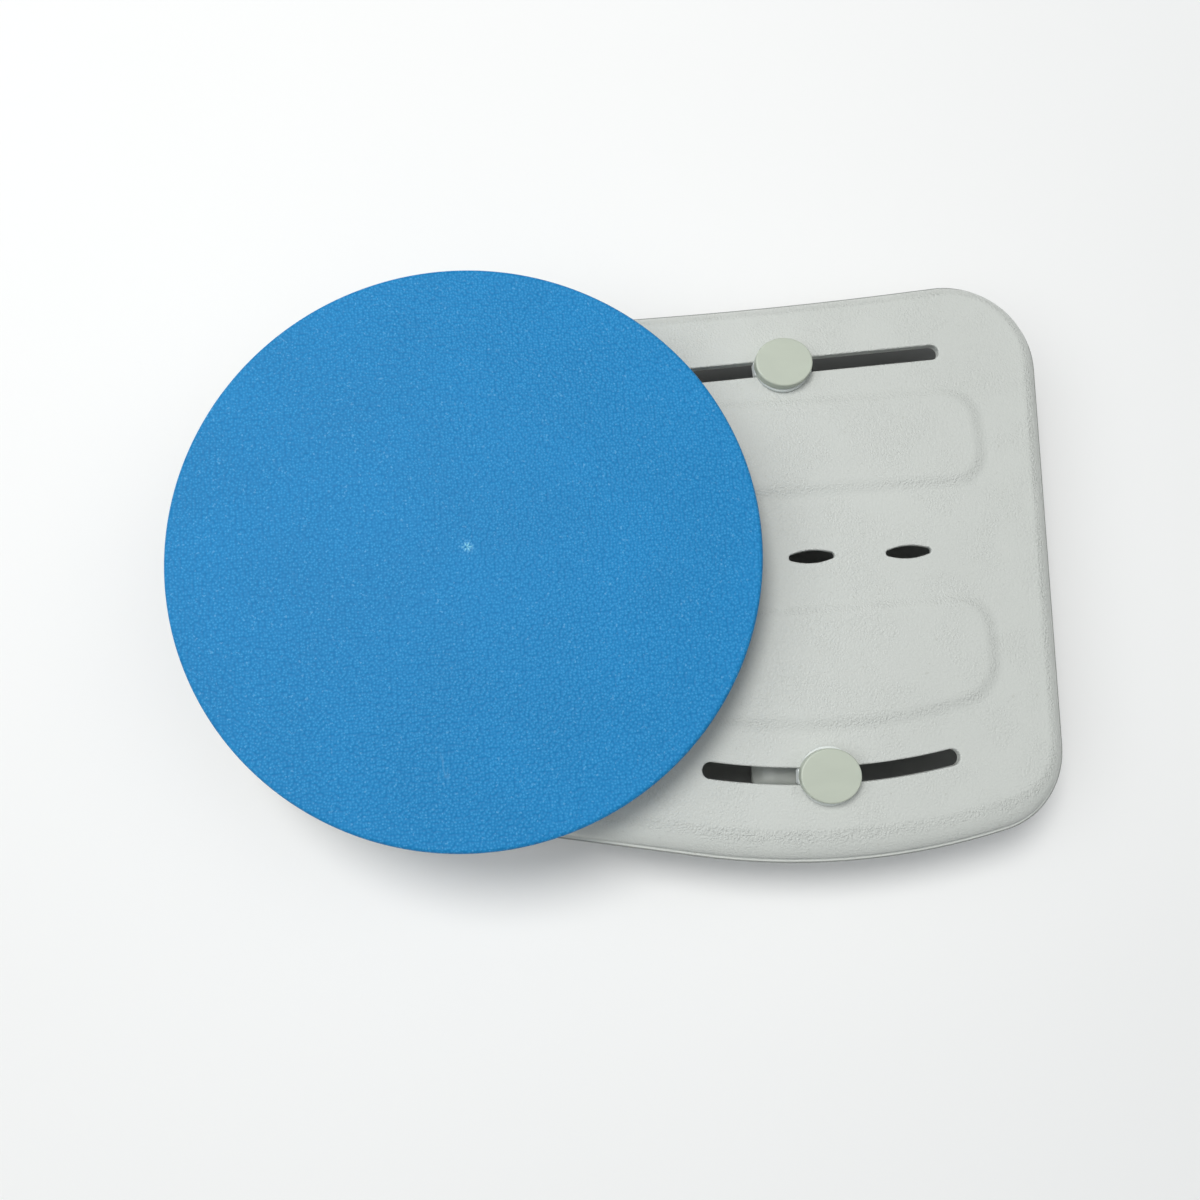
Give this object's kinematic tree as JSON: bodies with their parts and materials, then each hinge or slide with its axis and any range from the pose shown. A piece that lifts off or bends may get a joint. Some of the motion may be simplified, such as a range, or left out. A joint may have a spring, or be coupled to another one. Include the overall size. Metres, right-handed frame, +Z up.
{
  "type": "swivel bath seat",
  "caption": "Swivel bath seat: a moulded transfer board whose sliding clamps brace it inside a bath, with a round seat that turns on a pivot at one end.",
  "frame": {"origin": "centre of the bounding box in plan, at the level of the soles of the clamp legs", "axes": "+X along the board from the swivel seat to the transfer end, +Y to the board's back edge, +Z up"},
  "size_m": [0.6354, 0.4306, 0.116],
  "materials": {
    "blue_plastic": "fine leather grain",
    "pale_plastic": "fine moulded grain",
    "sage_plastic": "smooth satin",
    "white_plastic": "smooth satin",
    "low_friction_plastic": "smooth",
    "grey_rubber": "matt, ribbed",
    "stainless_steel": "plain",
    "brass": "turned"
  },
  "bodies": {
    "board": {"board_shell": "pale_plastic", "turntable_base": "pale_plastic", "base_screw_1": "stainless_steel", "base_screw_2": "stainless_steel", "base_screw_3": "stainless_steel", "base_screw_4": "stainless_steel", "glide_ring": "low_friction_plastic", "pivot_bush": "low_friction_plastic"},
    "seat": {"seat_disc": "blue_plastic", "turntable_hub": "white_plastic", "hub_screw_1": "stainless_steel", "hub_screw_2": "stainless_steel", "hub_screw_3": "stainless_steel", "hub_screw_4": "stainless_steel", "hub_insert": "brass", "pivot_washer": "stainless_steel", "pivot_bolt": "stainless_steel"},
    "clamp_back_right": {"clamp_cap_back_right": "sage_plastic", "clamp_guide_back_right": "white_plastic", "clamp_bolt_back_right": "stainless_steel", "clamp_leg_back_right": "white_plastic", "clamp_pad_back_right": "grey_rubber", "lever_washer_back_right": "stainless_steel"},
    "lever_back_right": {"clamp_lever_back_right": "white_plastic"},
    "clamp_front_right": {"clamp_cap_front_right": "sage_plastic", "clamp_guide_front_right": "white_plastic", "clamp_bolt_front_right": "stainless_steel", "clamp_leg_front_right": "white_plastic", "clamp_pad_front_right": "grey_rubber", "lever_washer_front_right": "stainless_steel"},
    "lever_front_right": {"clamp_lever_front_right": "white_plastic"},
    "clamp_back_left": {"clamp_cap_back_left": "sage_plastic", "clamp_guide_back_left": "white_plastic", "clamp_bolt_back_left": "stainless_steel", "clamp_leg_back_left": "white_plastic", "clamp_pad_back_left": "grey_rubber", "lever_washer_back_left": "stainless_steel"},
    "lever_back_left": {"clamp_lever_back_left": "white_plastic"},
    "clamp_front_left": {"clamp_cap_front_left": "sage_plastic", "clamp_guide_front_left": "white_plastic", "clamp_bolt_front_left": "stainless_steel", "clamp_leg_front_left": "white_plastic", "clamp_pad_front_left": "grey_rubber", "lever_washer_front_left": "stainless_steel"},
    "lever_front_left": {"clamp_lever_front_left": "white_plastic"}
  },
  "joints": [
    {"name": "seat_swivel", "type": "hinge", "parent": "board", "child": "seat", "pos_m": [-0.11766, 0.01533, 0.0975], "axis": [0, 0, 1], "continuous": true},
    {"name": "clamp_slide_back_right", "type": "slide", "parent": "board", "child": "clamp_back_right", "axis": [0.9992, 0.041, 0], "range_m": [-0.0615, 0.0953]},
    {"name": "clamp_arc_front_right", "type": "hinge", "parent": "board", "child": "clamp_front_right", "pos_m": [0.13444, 0.30643, 0.0704], "axis": [0, 0, 1], "range_deg": [-7.7, 8.7]},
    {"name": "clamp_slide_back_left", "type": "slide", "parent": "board", "child": "clamp_back_left", "axis": [0.9992, 0.041, 0], "range_m": [-0.057, 0.057]},
    {"name": "clamp_arc_front_left", "type": "hinge", "parent": "board", "child": "clamp_front_left", "pos_m": [-0.14016, 0.34233, 0.0704], "axis": [0, 0, 1], "range_deg": [-5.95, 7.05]},
    {"name": "lever_turn_back_right", "type": "hinge", "parent": "clamp_back_right", "child": "lever_back_right", "pos_m": [0.11924, 0.14523, 0.0555], "axis": [0, 0, 1], "range_deg": [-180, 0]},
    {"name": "lever_turn_front_right", "type": "hinge", "parent": "clamp_front_right", "child": "lever_front_right", "pos_m": [0.11884, -0.15557, 0.0555], "axis": [0, 0, 1], "range_deg": [-86, 94]},
    {"name": "lever_turn_back_left", "type": "hinge", "parent": "clamp_back_left", "child": "lever_back_left", "pos_m": [-0.14016, 0.13463, 0.0555], "axis": [0, 0, 1], "range_deg": [-90, 90]},
    {"name": "lever_turn_front_left", "type": "hinge", "parent": "clamp_front_left", "child": "lever_front_left", "pos_m": [-0.14016, -0.11967, 0.0555], "axis": [0, 0, 1], "range_deg": [-45, 90]}
  ]
}
